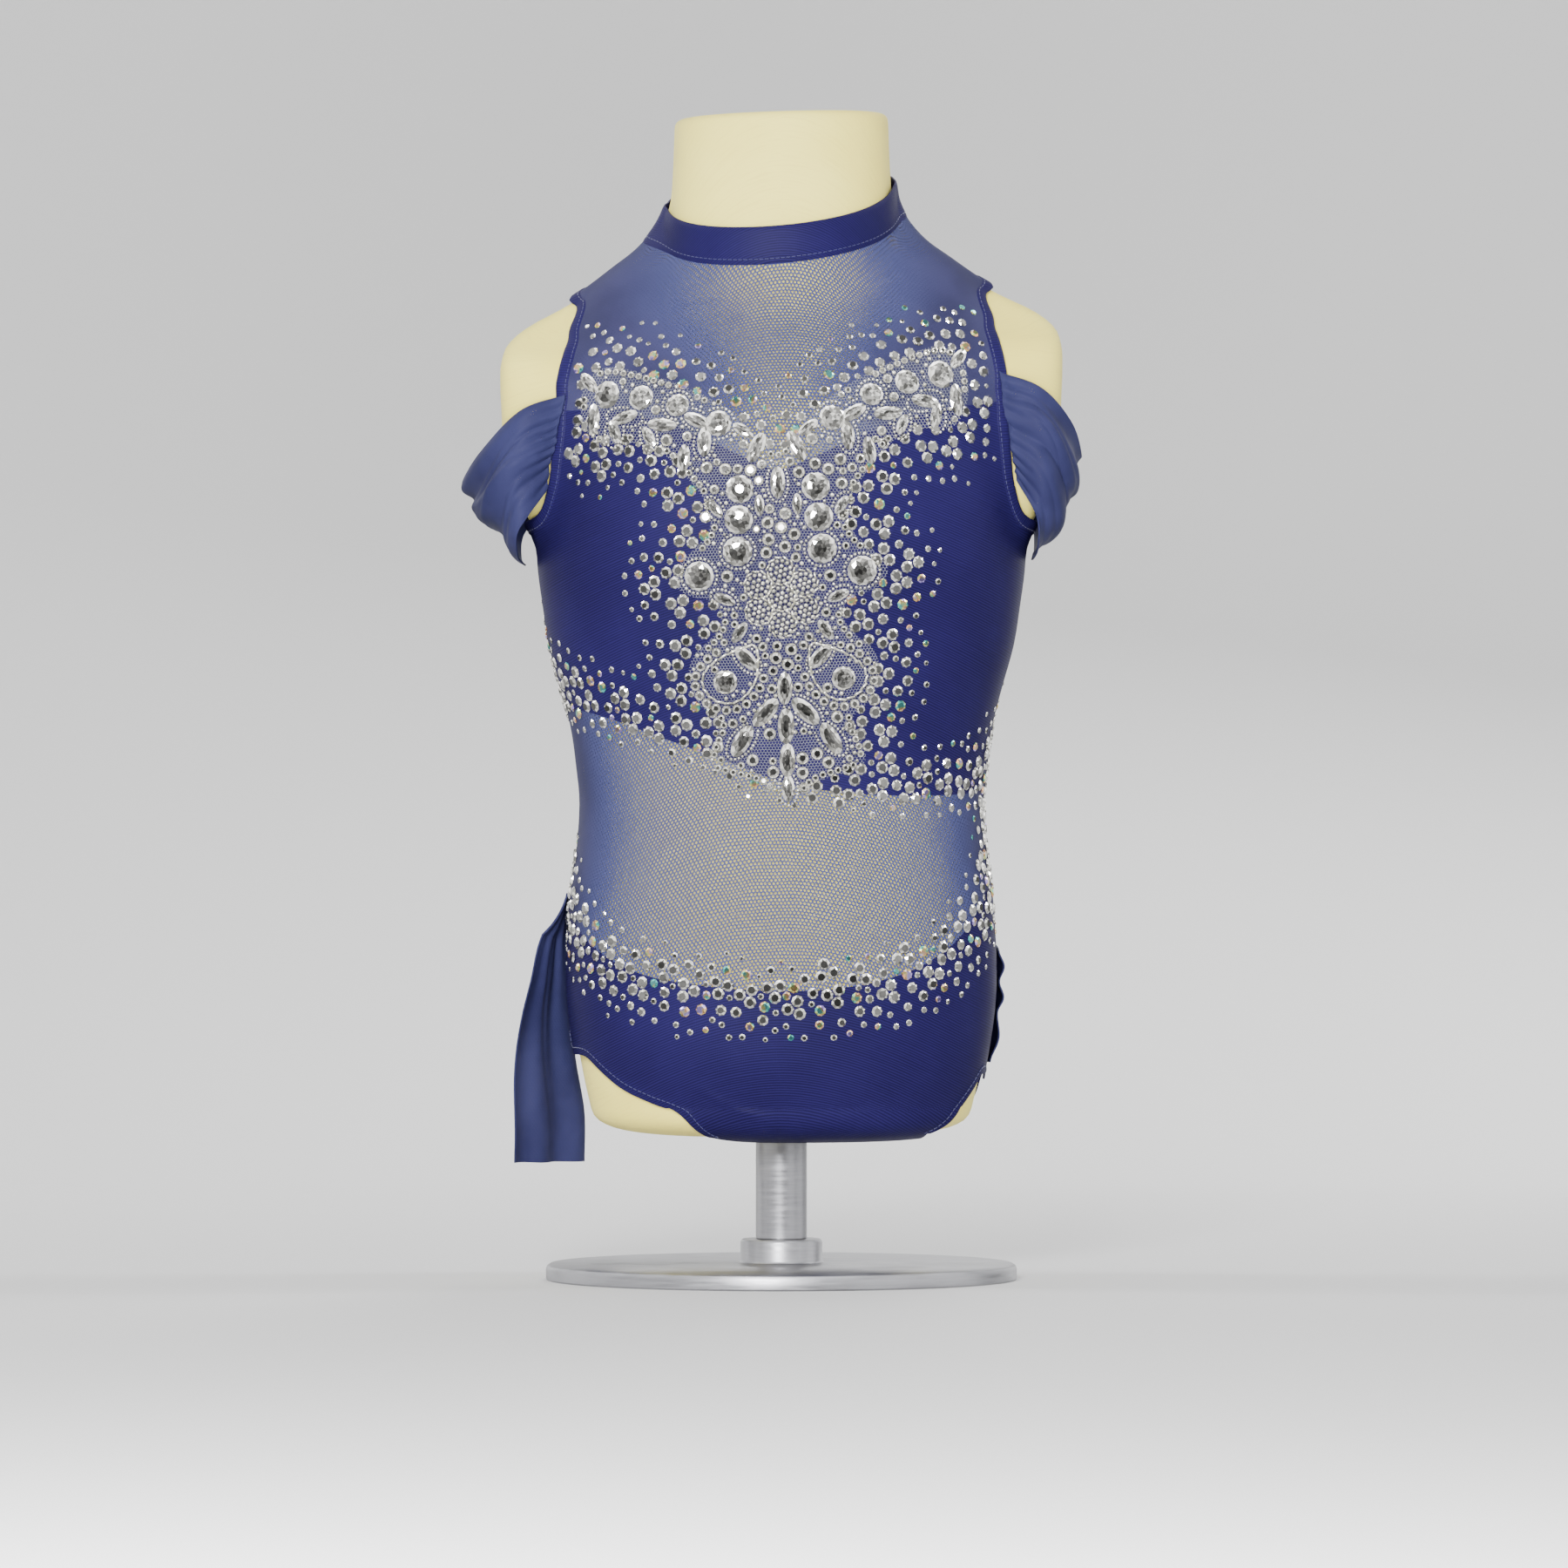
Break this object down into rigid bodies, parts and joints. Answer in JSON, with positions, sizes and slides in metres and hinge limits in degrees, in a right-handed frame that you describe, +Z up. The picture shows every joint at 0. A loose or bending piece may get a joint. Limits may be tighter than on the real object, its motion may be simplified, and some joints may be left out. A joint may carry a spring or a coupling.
{
  "type": "dance leotard on dress form",
  "caption": "Sleeveless child's dance leotard with mesh panels, crystal applique, off-shoulder drapes and a hip sash, on a limbless dress form with a round foot.",
  "frame": {"origin": "on the floor under the middle of the part's bounding box", "axes": "+Z up, the garment's front faces -Y, +X is the viewer's right"},
  "size_m": [0.3034, 0.2288, 0.5695],
  "materials": {
    "navy_stretch": "satin",
    "navy_mesh": "matt",
    "crystal": "faceted, silver backed",
    "form_cloth": "matt",
    "stand_metal": "satin"
  },
  "bodies": {
    "root": {"collar": "navy_stretch", "front_yoke": "navy_mesh", "back_yoke": "navy_mesh", "front_bodice": "navy_stretch", "front_midriff": "navy_mesh", "front_brief": "navy_stretch", "gusset": "navy_stretch", "back_body": "navy_stretch", "armhole_binding_left": "navy_stretch", "armhole_binding_right": "navy_stretch", "sleeve_left": "navy_mesh", "sleeve_right": "navy_mesh", "back_drape": "navy_mesh", "side_tail": "navy_mesh", "crystal_applique": "crystal", "form_body": "form_cloth", "stand_pole": "stand_metal", "stand_base": "stand_metal"}
  },
  "joints": []
}
